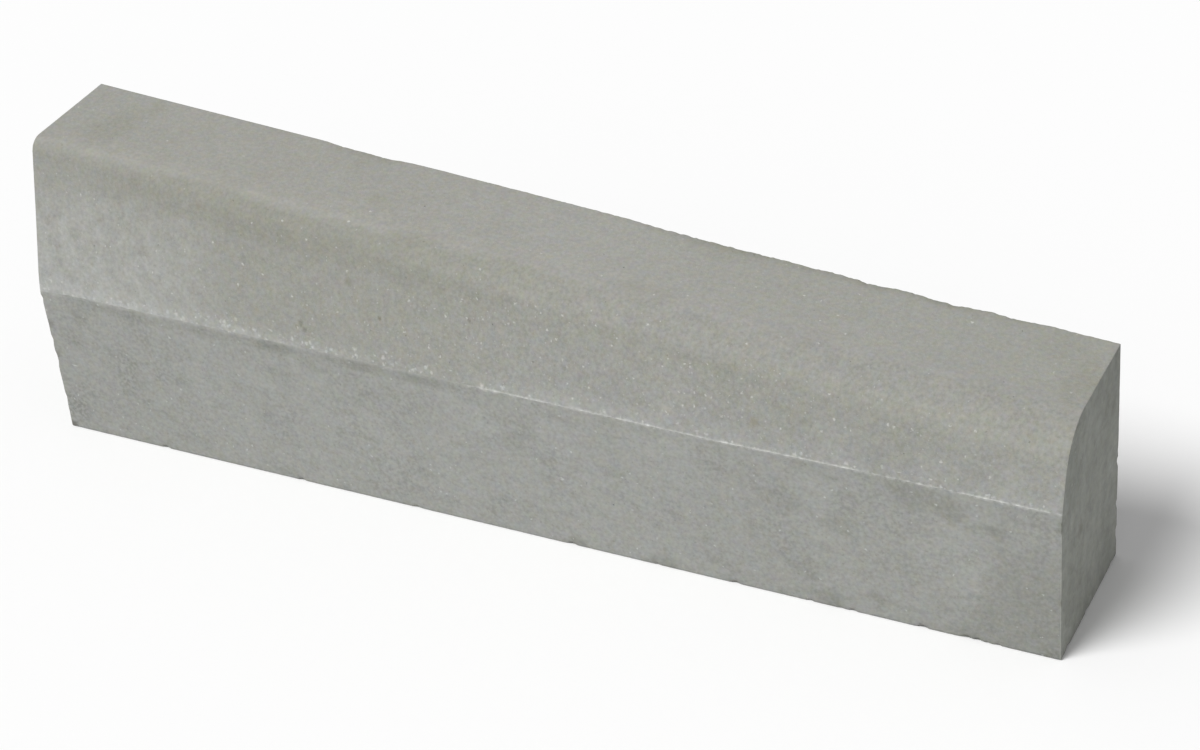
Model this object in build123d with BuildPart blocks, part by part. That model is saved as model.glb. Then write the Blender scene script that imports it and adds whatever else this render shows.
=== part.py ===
"""Concrete transition kerb, cast as one piece.

The kerb joins a full-height kerb to a lower, rounder one, and its two ends
have the sections of those two neighbours. The foot is a plain block with
vertical sides. Above a crease the front face leans back at one steady batter,
and an arris that is tight at the tall end and wide at the low end carries it
over into a top that falls all the way from one end to the other.

Frame: origin under the middle of the kerb at floor level, +X along the kerb
from the tall end to the low end, -Y towards the road, +Z up. Millimetres.
"""

from math import cos, radians, sin, tan
import os

from build123d import *

# Sizes that the whole kerb shares
length = 1000
width = 150
batter_angle = 15

# Tall end: the battered face reaches from the crease up to the top
tall_end_height = 300
tall_end_face_height = 140
tall_end_arris_radius = 15

# Low end
low_end_height = 220
low_end_face_height = 70
low_end_arris_radius = 50

# The arris takes up at most this share of the face or the top that it rounds
arris_room_share = 0.9

# How far the arris cutter stands out of the stone, in front and on top
cutter_overrun = 20

# Where the faces lie
tall_end = -length / 2
low_end = length / 2
front = -width / 2
back = width / 2

# The two ends of the crease, and the way the face leans back from it
tall_crease = Vector(tall_end, front, tall_end_height - tall_end_face_height)
low_crease = Vector(low_end, front, low_end_height - low_end_face_height)
batter = radians(batter_angle)
lean = Vector(0, sin(batter), cos(batter))
battered_face = Plane(
    origin=tall_crease,
    x_dir=low_crease - tall_crease,
    z_dir=(low_crease - tall_crease).cross(lean),
)

# What the arris has to round at each end, as place along the kerb, height,
# height of the battered face and arris radius
ends = (
    (tall_end, tall_end_height, tall_end_face_height, tall_end_arris_radius),
    (low_end, low_end_height, low_end_face_height, low_end_arris_radius),
)

with BuildPart() as kerb_stone:
    # Side view: level foot, square ends and a top that falls to the low end
    with BuildSketch(Plane.XZ):
        with BuildLine():
            Polyline(
                (tall_end, 0),
                (low_end, 0),
                (low_end, low_end_height),
                (tall_end, tall_end_height),
                close=True,
            )
        make_face()
    extrude(amount=width / 2, both=True)

    # The front face leans back above the crease
    split(bisect_by=battered_face, keep=Keep.BOTTOM)

    # The arris: at each end, all that lies outside an arc that leaves the
    # battered face and runs out into the level of the top
    for station, height, face_height, arris_radius in ends:
        sharp_corner = front + face_height * tan(batter)

        # The arc's tangents have to fit on the face and on the top
        tangent_share = tan((radians(90) - batter) / 2)
        room = min(face_height / cos(batter), back - sharp_corner) * arris_room_share
        tangent = min(arris_radius * tangent_share, room)
        face_end = (sharp_corner - tangent * sin(batter), height - tangent * cos(batter))
        top_end = (sharp_corner + tangent, height)

        with BuildSketch(Plane.YZ.offset(station)):
            with BuildLine():
                Polyline(
                    face_end,
                    (front - cutter_overrun, face_end[1]),
                    (front - cutter_overrun, height + cutter_overrun),
                    (top_end[0], height + cutter_overrun),
                    top_end,
                )
                TangentArc(top_end, face_end, tangent=(-1, 0))
            make_face()

    # Straight rulings from one arc to the other make it part of a cone
    loft(ruled=True, mode=Mode.SUBTRACT)

kerb_stone.part.label = "kerb_stone"

os.makedirs("parts", exist_ok=True)
export_step(kerb_stone.part, "parts/kerb_stone.step")
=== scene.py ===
# %% [markdown]
# # A concrete transition kerb
#
# The stone joins a full-height kerb to a low, rounded one. It is pressed in a
# steel mould from dry, sandy concrete. A stamp shapes the top, the arris and
# the battered face, and the mould's plain walls shape the foot, the back and
# the ends. Where stamp and wall meet, a little cement paste squeezes out and
# sets as a thin pale fin. That fin, the sandy grain and the uneven colour are
# what make the plain shape look like a real kerb.
#
# The lesson has four parts: the sawn shape, its relief, its finish, and the
# light and camera.

# %% Load the frame
import math

import bpy
import bmesh
import numpy as np
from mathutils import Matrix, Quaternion, Vector


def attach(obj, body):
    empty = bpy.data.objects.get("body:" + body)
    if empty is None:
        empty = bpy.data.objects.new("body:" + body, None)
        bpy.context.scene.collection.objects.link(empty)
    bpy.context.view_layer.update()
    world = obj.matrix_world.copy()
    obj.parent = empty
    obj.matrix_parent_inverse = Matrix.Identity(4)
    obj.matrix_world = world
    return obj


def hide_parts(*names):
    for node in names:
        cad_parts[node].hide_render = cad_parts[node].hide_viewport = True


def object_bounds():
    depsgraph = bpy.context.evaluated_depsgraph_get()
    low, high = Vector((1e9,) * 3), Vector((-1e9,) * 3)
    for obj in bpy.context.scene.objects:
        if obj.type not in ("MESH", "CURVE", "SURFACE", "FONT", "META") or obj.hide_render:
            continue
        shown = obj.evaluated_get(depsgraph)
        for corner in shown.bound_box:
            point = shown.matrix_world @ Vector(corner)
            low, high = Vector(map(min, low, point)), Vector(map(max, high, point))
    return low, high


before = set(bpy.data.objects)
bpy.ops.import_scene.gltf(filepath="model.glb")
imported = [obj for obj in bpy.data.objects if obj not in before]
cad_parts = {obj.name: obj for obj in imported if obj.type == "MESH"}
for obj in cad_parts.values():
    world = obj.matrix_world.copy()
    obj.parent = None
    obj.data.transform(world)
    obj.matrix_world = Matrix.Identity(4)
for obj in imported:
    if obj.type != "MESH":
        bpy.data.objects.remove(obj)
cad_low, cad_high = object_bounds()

MM = 0.001
cad_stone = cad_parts["kerb_stone"]
print("CAD box", [round(v, 4) for v in (*cad_low, *cad_high)])

# %% [markdown]
# ## Reading the sizes off the CAD stone
#
# The shape is already settled, so nothing is measured twice. Each end of the
# CAD stone is a flat outline. Its highest point on the front is the crease,
# its frontmost point on top is where the arris runs out, and the first corner
# above the crease is where the arris begins. From these come the lean of the
# battered face and the radius of the arris.

# %% Read both ends
cad_points = np.array([v.co for v in cad_stone.data.vertices])
tall_x, low_x = cad_low.x, cad_high.x
front, back = cad_low.y, cad_high.y
length = low_x - tall_x
HAIR = 0.02 * MM


def read_end(x):
    """Crease, top and arris of the end at x."""
    ring = cad_points[abs(cad_points[:, 0] - x) < HAIR]
    top = ring[:, 2].max()
    crease = ring[ring[:, 1] < front + HAIR][:, 2].max()
    top_start = ring[ring[:, 2] > top - HAIR][:, 1].min()
    upper = ring[(ring[:, 2] > crease + HAIR) & (ring[:, 1] < top_start)]
    face_y, face_z = upper[upper[:, 2].argmin()][1:]
    lean = (face_y - front) / (face_z - crease)
    sharp = front + lean * (top - crease)
    turn = math.pi / 2 - math.atan(lean)
    radius = (top_start - sharp) / math.tan(turn / 2)
    return {"x": x, "top": top, "crease": crease, "lean": lean, "top_start": top_start, "radius": radius}


tall, low = read_end(tall_x), read_end(low_x)
batter = math.atan((tall["lean"] + low["lean"]) / 2)
for name, end in (("tall", tall), ("low", low)):
    print(name, "end:", {k: round(float(v) / MM, 2) for k, v in end.items() if k != "lean"})
print("batter", round(math.degrees(batter), 2), "degrees")

# %% [markdown]
# ## Sawing the block
#
# A mason would start from a block and take off what is too much, and so do
# we. A cube of the stone's overall size is cut by one plane for the falling
# top and by one for the battered face. A bisect does each cut and closes it.

# %% The block and its two large cuts
bpy.ops.object.select_all(action="DESELECT")
bpy.ops.mesh.primitive_cube_add(size=1, location=(cad_low + cad_high) / 2)
stone = bpy.context.object
stone.name = "pressed_concrete_kerb"
stone.data.name = stone.name
stone.scale = cad_high - cad_low
bpy.ops.object.transform_apply(location=True, rotation=True, scale=True)
bpy.ops.object.mode_set(mode="EDIT")


def saw(tall_point, low_point, across, keep_below=False):
    """Cuts along the plane through two points, one at each end, and a direction."""
    run = Vector(low_point) - Vector(tall_point)
    bpy.ops.mesh.select_all(action="SELECT")
    bpy.ops.mesh.bisect(
        plane_co=tall_point, plane_no=run.cross(Vector(across)).normalized(),
        use_fill=keep_below, clear_outer=keep_below, threshold=HAIR)


def count_faces(title):
    mesh = bmesh.from_edit_mesh(stone.data)
    print(title, "leaves", len(mesh.verts), "points and", len(mesh.faces), "faces")


saw((tall_x, 0, tall["top"]), (low_x, 0, low["top"]), (0, 1, 0), keep_below=True)
saw((tall_x, front, tall["crease"]), (low_x, front, low["crease"]),
    (0, math.sin(batter), math.cos(batter)), keep_below=True)
count_faces("sawing top and face")

# %% [markdown]
# ## Sawing the arris
#
# The arris is part of a cone: its round widens towards the low end. A bevel
# keeps one width along its edge, so the arris is sawn as well, by a fan of
# flat cuts that each touch the round at both ends. With fourteen facets it
# strays from the true round by less than a tenth of a millimetre.

# %% Fan of cuts for the arris
facets = 14
facet_turn = (math.pi / 2 - batter) / facets


def on_arc(end, angle):
    """Point of the end's arris where its surface is turned up by the angle."""
    centre_z = end["top"] - end["radius"]
    return (end["x"], end["top_start"] - end["radius"] * math.cos(angle),
            centre_z + end["radius"] * math.sin(angle))


for k in range(1, facets):
    angle = batter + k * facet_turn
    saw(on_arc(tall, angle), on_arc(low, angle), (0, math.sin(angle), math.cos(angle)), keep_below=True)
count_faces("sawing the arris")

# %% [markdown]
# ## Breaking the sharp edges
#
# No cast edge is a knife edge. All edges that turn sharply get a round of
# about a millimetre. The crease and the facets of the arris turn too little
# to be picked, so they stay.

# %% Round the sharp edges
edge_round = 0.8 * MM
sharp_turn = math.radians(30)
bpy.ops.mesh.select_mode(type="EDGE")
bpy.ops.mesh.select_all(action="DESELECT")
bpy.ops.mesh.edges_select_sharp(sharpness=sharp_turn)
bpy.ops.mesh.bevel(offset=edge_round, segments=2, profile=0.5, affect="EDGES")
count_faces("rounding the edges")

# %% [markdown]
# ## Ruling lines for the relief
#
# The relief needs points to move. Fans of level and upright cuts rule the
# stone into strips that run its whole length. They lie close together beside
# the crease and the edges, where chips and fins need them, and further apart
# in the middle of a face. Because every cut goes right through, the ends get
# a grid of their own that meets the strips point for point.

# %% Rule level strips on the foot, the face and the arris
near_edge = (edge_round, 2.4 * MM, 4.5 * MM)
near_crease = (0.6 * MM, 2.0 * MM, 4.5 * MM)
foot_rows, face_rows, top_rows = 26, 22, 21


def spread(start, stop, count, first=near_edge, last=near_edge):
    """Places from start to stop: close together at both, and even between."""
    inner = np.linspace(start + first[-1], stop - last[-1], count)
    return [start + d for d in first[:-1]] + list(inner) + [stop - d for d in last[-2::-1]]


def facet_corner(end, k):
    """Where facet k meets the next one at that end: the face is facet 0, the top the last."""
    reach = 1 / math.cos(facet_turn / 2)
    angle = batter + (k + 0.5) * facet_turn
    centre = Vector((end["x"], end["top_start"], end["top"] - end["radius"]))
    return centre + (Vector(on_arc(end, angle)) - centre) * reach


def rule_level(tall_z, low_z):
    saw((tall_x, 0, tall_z), (low_x, 0, low_z), (0, 1, 0))


corners = [(facet_corner(tall, k), facet_corner(low, k)) for k in range(facets)]
arc_foot_tall, arc_foot_low = corners[0]

for pair in zip(spread(0, tall["crease"], foot_rows, last=near_crease),
                spread(0, low["crease"], foot_rows, last=near_crease)):
    rule_level(*pair)
rule_level(tall["crease"], low["crease"])
face_levels = list(zip(spread(tall["crease"], arc_foot_tall.z, face_rows, first=near_crease),
                       spread(low["crease"], arc_foot_low.z, face_rows, first=near_crease)))
for pair in face_levels:
    rule_level(*pair)
for tall_corner, low_corner in corners:
    if tall["top"] - tall_corner.z > near_edge[-1]:
        rule_level(tall_corner.z, low_corner.z)
count_faces("ruling level strips")

# %% [markdown]
# ## Ruling the top
#
# The top is divided in the same way by upright cuts. A few of them pass
# through the face and the arris, so that the grid of the ends stays even.

# %% Rule upright strips
def rule_upright(tall_y, low_y):
    saw((tall_x, tall_y, 0), (low_x, low_y, 0), (0, 0, 1))


for tall_z, low_z in face_levels[4::5]:
    rule_upright(front + tall["lean"] * (tall_z - tall["crease"]),
                 front + low["lean"] * (low_z - low["crease"]))
for tall_corner, low_corner in corners[::2]:
    rule_upright(tall_corner.y, low_corner.y)
for pair in zip(spread(corners[-1][0].y, back, top_rows), spread(corners[-1][1].y, back, top_rows)):
    rule_upright(*pair)
count_faces("ruling upright strips")

# %% [markdown]
# ## Two more lines on the back
#
# The back's top edge will crumble, so it needs fine strips on both sides.
# The level cuts stay clear of the top, so the back alone gets two lines close
# under its edge. Only its own faces are selected, and no other side is cut.

# %% Rule the back's top edge
slope = Vector((length, 0, low["top"] - tall["top"]))
facing_back = 0.95
for depth in near_edge[1:]:
    bpy.ops.mesh.select_all(action="DESELECT")
    mesh = bmesh.from_edit_mesh(stone.data)
    for face in mesh.faces:
        face.select_set(face.normal.y > facing_back)
    bmesh.update_edit_mesh(stone.data)
    bpy.ops.mesh.bisect(plane_co=(tall_x, back, tall["top"] - depth),
                        plane_no=slope.cross(Vector((0, 1, 0))).normalized(), threshold=HAIR)
count_faces("ruling the back")

# %% [markdown]
# ## Stations along the length
#
# Next, the long edges are divided. Two cuts close to each end keep the end
# edges fine, and everything between them is subdivided evenly in two rounds.

# %% Divide the length
for d in near_edge[1:]:
    for x in (tall_x + d, low_x - d):
        bpy.ops.mesh.select_all(action="SELECT")
        bpy.ops.mesh.bisect(plane_co=(x, 0, 0), plane_no=(1, 0, 0), threshold=HAIR)


mostly = 0.9


def select_long_edges(shortest):
    """Selects the edges that run along the kerb and are at least that long."""
    bpy.ops.mesh.select_all(action="DESELECT")
    mesh = bmesh.from_edit_mesh(stone.data)
    for edge in mesh.edges:
        run = edge.verts[0].co - edge.verts[1].co
        edge.select_set(abs(run.x) > shortest and abs(run.x) > mostly * run.length)
    bmesh.update_edit_mesh(stone.data)
    return sum(e.select for e in mesh.edges)


for cuts, shortest in ((19, 0.9), (19, 0.04)):
    print("long edges divided:", select_long_edges(shortest))
    bpy.ops.mesh.subdivide(number_cuts=cuts)

bpy.ops.mesh.select_all(action="SELECT")
bpy.ops.mesh.remove_doubles(threshold=HAIR)
bpy.ops.mesh.normals_make_consistent(inside=False)
count_faces("dividing the length")
bpy.ops.object.mode_set(mode="OBJECT")

# %% [markdown]
# ## Which faces are stamped and which are moulded
#
# The stone gets two finishes: one for what was under the stamp, which is all
# above the crease, and one for what the mould's walls touched. The faces are
# sorted now, while the crease is still a straight line. Each face keeps the
# number of its finish through everything that follows.

# %% Sort the faces
STAMPED, MOULDED = 0, 1
sideways = 0.7


def between(key, share):
    """A height or place at that share of the length, on a straight line from end to end."""
    return tall[key] + (low[key] - tall[key]) * share


for face in stone.data.polygons:
    crease_here = between("crease", (face.center.x - tall_x) / length)
    on_back_or_end = face.normal.y >= sideways or abs(face.normal.x) >= sideways
    under_stamp = face.center.z > crease_here and not on_back_or_end
    face.material_index = STAMPED if under_stamp else MOULDED
print("stamped faces:", sum(f.material_index == STAMPED for f in stone.data.polygons))

# %% [markdown]
# ## How the relief is pressed in
#
# Every unevenness is made in one way, as with a weight brush: each point gets
# a weight from its place, and a Displace modifier moves it by that share of a
# depth. The modifier is applied at once, so the next one starts from the new
# surface. All of it goes into the stone, because the sizes of the CAD stone
# are the outside of this one.

# %% A helper that presses points in
def places():
    """The points of the stone as three rows: x, y and z."""
    flat = np.empty(3 * len(stone.data.vertices))
    stone.data.vertices.foreach_get("co", flat)
    return flat.reshape(-1, 3).T


least_weight = 0.002


def press(title, weight, depth, direction="NORMAL", waves=None):
    """Moves each point by its share of the depth, times the waves where there are any."""
    touched = weight > least_weight
    group = stone.vertex_groups.new(name=title)
    for index in np.flatnonzero(touched):
        group.add([int(index)], float(min(weight[index], 1)), "REPLACE")
    push = stone.modifiers.new(title, "DISPLACE")
    push.vertex_group = title
    push.direction = direction
    push.strength = depth
    push.mid_level = 0
    if waves:
        push.texture = waves
        push.texture_coords = "LOCAL"
    bpy.ops.object.modifier_apply(modifier=title)
    stone.vertex_groups.remove(stone.vertex_groups[title])
    print(title, "moved", int(touched.sum()), "points by up to", round(depth / MM, 2), "mm")


# %% [markdown]
# ## Faces that are not quite flat
#
# A steel mould is flat, but the concrete springs back unevenly and sheds
# grains. Two cloud textures do this: slow waves the size of a palm and short
# ones the size of a pea. The underside is struck off by hand and is rougher.

# %% Waves of the faces
def cloud_texture(title, size):
    texture = bpy.data.textures.new(title, "CLOUDS")
    texture.noise_scale = size
    texture.noise_depth = 2
    return texture


x, y, z = places()
everywhere = np.ones(len(x))
press("slow_waves", everywhere, -0.3 * MM, waves=cloud_texture("slow_waves", 60 * MM))
press("grain_waves", everywhere, -0.2 * MM, waves=cloud_texture("grain_waves", 5 * MM))
underside = np.clip(1 - z / (2 * MM), 0, 1)
press("rough_underside", underside, -0.6 * MM, waves=cloud_texture("rough", 4 * MM))

# %% [markdown]
# ## The fin along the crease
#
# The stamp meets the mould wall at the crease. Paste that leaks between them
# sets as a thin fin, full on the low half and hardly there on the tall half.
# The road side first steps back by the fin's height, so that only the fin's
# tip reaches the full width. The fin is the crease line itself, pulled back
# out by uneven amounts, and then pushed up and down so that it wanders.

# %% Step the road side back and raise the fin
def ragged(place, step, seed):
    """Uneven values between 0 and 1, a new one every step."""
    stations = np.arange(place.min() - step, place.max() + 2 * step, step)
    return np.interp(place, stations, np.random.default_rng(seed).random(len(stations)))


fin_reach = 0.45 * MM
x, y, z = places()
along = (x - tall_x) / length
under_crease = between("crease", along) - z
on_crease = (abs(under_crease) < 0.3 * MM) & (y < front + 1.0 * MM)
press("step_back", np.clip(y / front, 0, 1), fin_reach, direction="Y")

fin_height = np.interp(along, (0.0, 0.44, 0.47, 0.475, 0.49, 0.60, 1.0),
                       (0.12, 0.2, 0.45, 1.0, 0.7, 0.85, 0.95))
jagged = 0.20 + 0.60 * ragged(x, 3 * MM, seed=3) + 0.20 * ragged(x, 22 * MM, seed=6)
press("fin", on_crease * fin_height * jagged, -fin_reach, direction="Y")
press("wandering_fin", on_crease * ragged(x, 4 * MM, seed=5), 0.9 * MM, direction="Z")

# %% [markdown]
# ## Where the fin shows white
#
# The fin is paler than the stone, because it is cement with no sand in it.
# The mesh remembers where it is: a weight on every point, which the finish
# reads later as an attribute. The white reaches a few millimetres further
# than the fin itself, as smeared paste does, and fades along the length.

# %% Remember the fin for the finish
def remember(title, weight):
    """Keeps a weight on the mesh, for the finish to read."""
    layer = stone.data.attributes.new(title, "FLOAT", "POINT")
    layer.data.foreach_set("value", np.clip(weight, 0, 1).astype(np.float32))
    print(title, "is remembered on", int((weight > 0).sum()), "points")


fin_paint = np.interp(under_crease, np.array((-3.2, -0.8, 0.0, 0.9, 2.3, 4.5)) * MM,
                      (0.0, 0.55, 1.0, 0.5, 0.2, 0.0))
fin_paint = fin_paint * (y < front + 2 * MM)
paint_left = np.interp(along, (0.50, 0.55, 0.72, 0.9, 0.96, 1.0), (0.92, 0.77, 0.72, 0.58, 0.68, 1.0))
unevenly = 0.20 + 0.45 * ragged(x, 22 * MM, seed=6) + 0.50 * ragged(x, 3 * MM, seed=3)
remember("fin", fin_paint * paint_left * fin_height * unevenly)

# %% [markdown]
# ## The groove below the crease
#
# On the tall half the stamp's edge has left a shallow groove, deepest in three
# long dents of nearly a millimetre. It starts just under the crease and is
# gone 17 mm below it. Past the middle it is nearly nothing. It is pressed
# into the foot and remembered too, so that the finish can darken it as painted
# shade.

# %% Groove below the crease
groove_depth = np.interp(
    along,
    (0.02, 0.05, 0.23, 0.25, 0.275, 0.295, 0.32, 0.335, 0.36, 0.38, 0.395, 0.405, 0.42, 0.435, 0.46,
     0.51, 0.68, 0.74, 1.0),
    (0.0, 0.35, 0.40, 0.80, 0.95, 0.3, 0.4, 0.85, 0.95, 0.35, 0.6, 1.0, 0.9, 0.35, 0.25,
     0.04, 0.04, 0.15, 0.15))
groove_shape = np.interp(under_crease, np.array((1.0, 3.5, 8.0, 12.0, 17.0)) * MM,
                         (0.0, 0.8, 1.0, 0.75, 0.0))
groove = (y < front + 3 * MM) * groove_depth * groove_shape
groove = groove * (0.55 + 0.45 * ragged(x, 14 * MM, seed=8))
press("groove", groove, 0.9 * MM, direction="Y")
# The weight is kept for painted shade in the groove.
remember("groove", groove)

# %% [markdown]
# ## A crease that is soft and bends
#
# Where there is no fin, the crease is a soft corner. The line also sags, by
# 4 mm at the tall end and by 2 mm along most of its length, and rises by less
# than one at the low end. Points on the crease follow it fully, and points
# 15 mm away not at all, so the faces beside it stay smooth.

# %% Round the crease and let it bend
road_face = y < front + 6 * MM
roundness = np.interp(along, (0.42, 0.50), (1.0, 0.3))
soft_corner = np.clip(1 - abs(under_crease) / (3 * MM), 0, 1) ** 2
press("soft_crease", soft_corner * roundness * road_face, 0.4 * MM, direction="Y")

beside_crease = np.clip(1 - abs(under_crease) / (15 * MM), 0, 1) * road_face
sunk = np.interp(along, (0, 0.032, 0.70, 0.82), (1.0, 0.5, 0.5, 0.0))
risen = np.interp(along, (0.82, 0.90, 0.96), (0.0, 0.6, 1.0))
press("sunk_crease", beside_crease * sunk, -4 * MM, direction="Z")
press("risen_crease", beside_crease * risen, 0.8 * MM, direction="Z")

# %% [markdown]
# ## The crumbled back edge
#
# The back edge of the top is the one that is trowelled and knocked. Over the
# low three quarters it has crumbled by up to 5 mm, and the break is ragged.
# Its depth is read from a list of places, because the dips lie where they lie
# on the real stone, and two ragged lines make the small teeth between them.

# %% Crumble the back edge of the top
x, y, z = places()
along = (x - tall_x) / length
from_back_edge = np.hypot(back - y, between("top", along) - z)
wear_depth = np.interp(
    along,
    (0.25, 0.262, 0.30, 0.315, 0.335, 0.36, 0.49, 0.56, 0.59, 0.65,
     0.76, 0.79, 0.81, 0.84, 0.86, 0.89, 0.91, 0.94, 1.0),
    (0.0, 1.5, 2.6, 2.9, 0.6, 0.2, 0.3, 1.0, 2.8, 3.7,
     3.2, 5.4, 2.6, 4.9, 4.3, 1.6, 3.3, 0.8, 0.1))
deepest_wear = wear_depth.max()
wear_reach = 14 * MM
tooth_depth = 0.22
crumbling = np.interp(along, (0.25, 0.27, 0.33, 0.5, 0.6, 0.95, 1.0), (0.0, 0.5, 0.25, 0.35, 0.7, 0.7, 0.2))
teeth = 1.4 * ragged(x, 2.5 * MM, seed=11) + 0.6 * ragged(x, 9 * MM, seed=12) - 1
wear = wear_depth / deepest_wear + crumbling * teeth * tooth_depth
back_wear = np.clip(1 - from_back_edge / wear_reach, 0, 1) * np.clip(wear, 0, 1)
press("back_edge", back_wear, -deepest_wear * MM, direction="Y")
press("back_edge_crumbs", back_wear * ragged(x, 3 * MM, seed=13), -1.5 * MM, direction="Z")
remember("worn", 1.5 * back_wear)

# %% [markdown]
# ## Ends whose outline wanders
#
# The ends are square, but their outline isn't ruled: the walls of the mould
# drag a little. The tall end is most hollow on the foot, and the low end near
# its top. Points within 6 mm of an end move inwards by those amounts.

# %% Let the outlines of the ends wander
tall_recess = np.interp(z, np.array((0, 8, 40, 120, 138, 165, 200, 230, 300)) * MM,
                        (0.1, 0.3, 0.9, 1.0, 0.80, 0.05, 0.25, 0.35, 0.05))
low_recess = np.interp(z, np.array((0, 60, 150, 220)) * MM, (0.05, 0.2, 0.4, 0.6))
uneven = 0.6 * ragged(z, 7 * MM, seed=21) + 0.4 * ragged(y, 6 * MM, seed=22)
for title, end_x, recess, depth in (("tall_outline", tall_x, tall_recess, 1.6 * MM),
                                    ("low_outline", low_x, low_recess, -0.9 * MM)):
    near = np.clip(1 - abs(x - end_x) / (6 * MM), 0, 1)
    press(title, near * recess * (0.6 + 0.4 * uneven), depth, direction="X")

# %% [markdown]
# ## Chips
#
# Every edge that stands on pallets and forks loses crumbs. A chip is a small
# round hollow with its middle on an edge. The list says which edges have
# them, from where to where, and how many, and seeded dice choose the places,
# so that each run knocks off the same ones.

# %% Knock small chips off the lower edges and the corners
x, y, z = places()
chip_dice = np.random.default_rng(41)
smallest_chip, biggest_chip = 2.2, 5.5
foot_front = (tall_x, front, 0), (low_x, front, 0)
foot_back = (tall_x, back, 0), (low_x, back, 0)
chipped_edges = [
    (*foot_front, 0.02, 0.74, 7), (*foot_front, 0.76, 0.96, 11), (*foot_back, 0.02, 0.98, 16),
    ((low_x, front, 0), (low_x, front, low["crease"]), 0.05, 0.95, 4),
    ((tall_x, front, 0), (tall_x, front, tall["crease"]), 0.05, 0.95, 6),
    ((low_x, back, 0), (low_x, back, low["top"]), 0.05, 0.95, 5),
    ((tall_x, back, 0), (tall_x, back, tall["top"]), 0.05, 0.95, 6),
    ((low_x, front, 0), (low_x, back, 0), 0.05, 0.95, 4),
    ((tall_x, front, 0), (tall_x, back, 0), 0.05, 0.95, 5)]
chips = np.zeros(len(x))
for start, end, first, last, count in chipped_edges:
    for _ in range(count):
        middle = Vector(start).lerp(Vector(end), chip_dice.uniform(first, last))
        radius = chip_dice.uniform(smallest_chip, biggest_chip) * MM
        away = np.sqrt((x - middle.x) ** 2 + (y - middle.y) ** 2 + (z - middle.z) ** 2)
        chips = np.maximum(chips, np.clip(1 - away / radius, 0, 1) * radius / (biggest_chip * MM))
press("chips", chips, -2.2 * MM)
# The weight is kept for painted shade in the chips.
remember("chips", 2 * chips)

# %% [markdown]
# ## Pits
#
# Some grains fall out when the stone leaves the mould. A pit is one point of
# the mesh, opened to a small ring by a bevel on points, with the ring's middle
# poked down. Only points with room around them are taken.

# %% Open the pits
bpy.ops.object.mode_set(mode="EDIT")
bpy.ops.mesh.select_mode(type="VERT")
pit_dice = np.random.default_rng(31)
shortest_edge = 1.9 * MM
flat_turn = math.radians(20)
for pit_radius, pits in ((0.5 * MM, 110), (0.8 * MM, 60), (1.2 * MM, 14)):
    mesh = bmesh.from_edit_mesh(stone.data)
    mesh.verts.ensure_lookup_table()
    bpy.ops.mesh.select_all(action="DESELECT")
    for index in pit_dice.choice(len(mesh.verts), pits, replace=False):
        point = mesh.verts[index]
        edges = point.link_edges
        flat = max(e.calc_face_angle(1) for e in edges) < flat_turn
        roomy = min(e.calc_length() for e in edges) > shortest_edge
        point.select_set(len(edges) == 4 and flat and roomy)
    mesh.select_flush_mode()
    bmesh.update_edit_mesh(stone.data)
    bpy.ops.mesh.bevel(offset=pit_radius, segments=2, profile=0.5, affect="VERTICES")
    bpy.ops.mesh.poke(offset=-pit_radius)
bpy.ops.object.mode_set(mode="OBJECT")
smooth_turn = math.radians(35)
bpy.ops.object.shade_smooth_by_angle(angle=smooth_turn)
print("mesh:", len(stone.data.vertices), "points,", len(stone.data.polygons), "faces,",
      sum(len(p.vertices) - 2 for p in stone.data.polygons), "triangles")

# %% [markdown]
# ## Building nodes in code
#
# The finish is a tree of nodes. Clicking a tree this size together would take
# a day, and the same few steps repeat all the time: add a node, set or link
# its inputs, do a sum. So each step gets a short helper. What both finishes
# need becomes a node group with named sockets, so that it is built once and
# placed in each of them with its own values.

# %% Helpers for building nodes
def fill(tree, socket, value):
    """Links a socket to an input, or sets a plain value on it."""
    if isinstance(value, bpy.types.NodeSocket):
        tree.links.new(value, socket)
    else:
        socket.default_value = value


def node(tree, kind, inputs=None, **settings):
    """Adds a node, and sets or links its inputs by name or number."""
    new = tree.nodes.new(kind)
    new.location = (220 * (len(tree.nodes) % 9), -260 * (len(tree.nodes) // 9))
    for name, value in settings.items():
        setattr(new, name, value)
    for name, value in (inputs or {}).items():
        fill(tree, new.inputs[name], value)
    return new


def calc(tree, operation, *values, clamp=False):
    """A Math node, given its numbers or sockets in order."""
    new = node(tree, "ShaderNodeMath", dict(enumerate(values)), operation=operation, use_clamp=clamp)
    return new.outputs[0]


def times(tree, first, second):
    return calc(tree, "MULTIPLY", first, second)


NUMBER, VECTOR = "NodeSocketFloat", "NodeSocketVector"


def start_group(title, inputs, outputs):
    """A new node group with its sockets, and the nodes that stand for them inside."""
    group = bpy.data.node_groups.new(title, "ShaderNodeTree")
    for name, kind, default in inputs:
        socket = group.interface.new_socket(name, in_out="INPUT", socket_type=kind)
        if default is not None:
            socket.default_value = default
    for name in outputs:
        group.interface.new_socket(name, in_out="OUTPUT", socket_type=NUMBER)
    print("group", title, "takes", [name for name, _, _ in inputs], "and gives", outputs)
    return group, group.nodes.new("NodeGroupInput").outputs, group.nodes.new("NodeGroupOutput").inputs
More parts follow.
